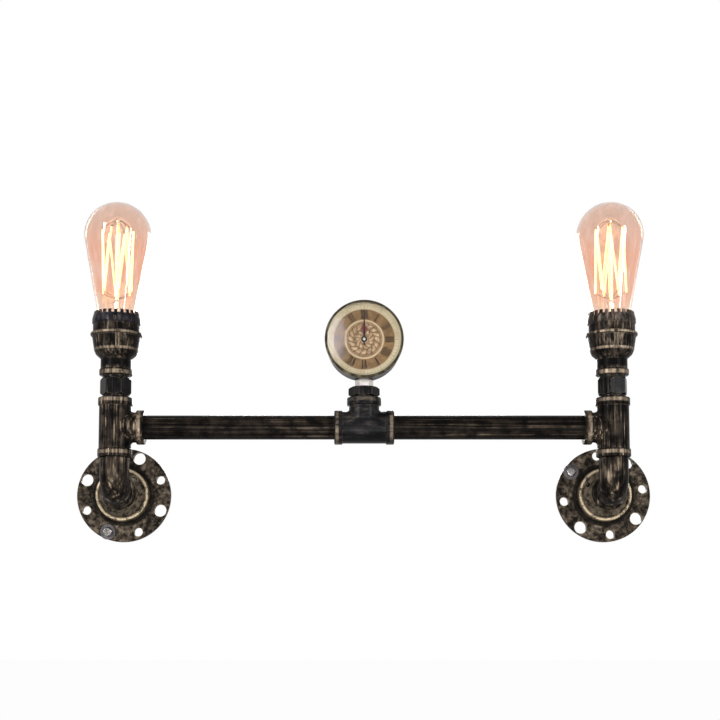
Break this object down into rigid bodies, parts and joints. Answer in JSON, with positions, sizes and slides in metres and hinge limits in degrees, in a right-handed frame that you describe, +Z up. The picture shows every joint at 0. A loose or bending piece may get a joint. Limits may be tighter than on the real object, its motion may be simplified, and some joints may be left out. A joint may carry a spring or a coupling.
{
  "type": "pipe wall light",
  "caption": "Industrial wall light of iron pipe and fittings: round wall flanges, upright lamp holders with filament bulbs at both ends and a small round clock between them.",
  "frame": {"origin": "on the wall plane, midway between the two flange axes and at their height", "axes": "+X to the right and +Z up for someone facing the wall; +Y into the wall, so the light stands out along -Y"},
  "size_m": [0.526, 0.1085, 0.3017],
  "materials": {
    "aged_iron": "blackened bronze finish with rubbed edges",
    "aged_pipe": "dark bronze with long brushed streaks",
    "zinc_steel": "bright zinc plated",
    "black_steel": "black oxide",
    "holder_ceramic": "glazed white ceramic",
    "brass": "plain",
    "nickel": "satin nickel",
    "case_steel": "dark bronze lacquer",
    "connector_plastic": "clear moulded",
    "lead_silicone": "matte",
    "bulb_glass": "clear, faint amber tint",
    "cap_brass": "bright rolled",
    "seal_glass": "black glass",
    "solder": "smooth",
    "stem_glass": "clear",
    "hook_wire": "drawn wire",
    "filament": "glowing carbon strand",
    "carrier_plastic": "moulded",
    "gasket_rubber": "matte",
    "bezel_brass": "polished, dark edge",
    "lens_glass": "clear",
    "dial_face": "printed, cream and brown",
    "movement_plastic": "moulded",
    "cell_steel": "smooth",
    "hand_black": "black",
    "hand_nut_steel": "smooth",
    "hand_brown": "dark red-brown",
    "knob_plastic": "moulded"
  },
  "bodies": {
    "lamp_frame": {"left_wall_flange": "aged_iron", "left_flange_nipple": "aged_pipe", "left_elbow": "aged_iron", "left_side_tee": "aged_iron", "left_hex_nipple": "aged_iron", "left_holder_cup": "aged_iron", "left_crown_ring": "aged_iron", "left_lamp_insulator": "holder_ceramic", "left_screw_shell": "brass", "left_centre_contact": "brass", "right_wall_flange": "aged_iron", "right_flange_nipple": "aged_pipe", "right_elbow": "aged_iron", "right_side_tee": "aged_iron", "right_hex_nipple": "aged_iron", "right_holder_cup": "aged_iron", "right_crown_ring": "aged_iron", "right_lamp_insulator": "holder_ceramic", "right_screw_shell": "brass", "right_centre_contact": "brass", "flange_screws": "zinc_steel", "flange_washers": "zinc_steel", "hub_set_screws": "black_steel", "holder_tubes": "zinc_steel", "left_pipe": "aged_pipe", "right_pipe": "aged_pipe", "centre_tee": "aged_iron", "tee_bushing": "aged_iron", "clock_stem": "nickel", "clock_case": "case_steel", "wire_connectors": "connector_plastic", "left_lamp_leads": "lead_silicone", "right_lamp_leads": "lead_silicone"},
    "left_bulb": {"left_bulb_glass": "bulb_glass", "left_bulb_cap": "cap_brass", "left_bulb_seal": "seal_glass", "left_bulb_tip": "solder", "left_bulb_stem": "stem_glass", "left_bulb_supports": "hook_wire", "left_filament": "filament"},
    "right_bulb": {"right_bulb_glass": "bulb_glass", "right_bulb_cap": "cap_brass", "right_bulb_seal": "seal_glass", "right_bulb_tip": "solder", "right_bulb_stem": "stem_glass", "right_bulb_supports": "hook_wire", "right_filament": "filament"},
    "clock_insert": {"insert_body": "carrier_plastic", "insert_gasket": "gasket_rubber", "clock_bezel": "bezel_brass", "clock_lens": "lens_glass", "clock_dial": "dial_face", "clock_movement": "movement_plastic", "button_cell": "cell_steel"},
    "minute_shaft": {"minute_hand": "hand_black", "minute_arbor": "brass", "hand_nut": "hand_nut_steel"},
    "hour_wheel": {"hour_hand": "hand_brown"},
    "knob": {"setting_knob": "knob_plastic"}
  },
  "joints": [
    {"name": "left_bulb_unscrew", "type": "slide", "parent": "lamp_frame", "child": "left_bulb", "axis": [0, 0, 1], "range_m": [0, 0.05]},
    {"name": "right_bulb_unscrew", "type": "slide", "parent": "lamp_frame", "child": "right_bulb", "axis": [0, 0, 1], "range_m": [0, 0.05]},
    {"name": "clock_pull_out", "type": "slide", "parent": "lamp_frame", "child": "clock_insert", "axis": [0, -1, 0], "range_m": [0, 0.02]},
    {"name": "minute_turn", "type": "hinge", "parent": "clock_insert", "child": "minute_shaft", "pos_m": [0, -0.055, 0.132], "axis": [0, 1, 0], "continuous": true},
    {"name": "hour_turn", "type": "hinge", "parent": "clock_insert", "child": "hour_wheel", "pos_m": [0, -0.055, 0.132], "axis": [0, 1, 0], "continuous": true},
    {"name": "knob_turn", "type": "hinge", "parent": "clock_insert", "child": "knob", "pos_m": [0.0085, -0.055, 0.1255], "axis": [0, 1, 0], "continuous": true}
  ],
  "couplings": [
    {"joint": "hour_turn", "follows": "minute_turn", "ratio": 0.083333},
    {"joint": "knob_turn", "follows": "minute_turn", "ratio": -1}
  ]
}
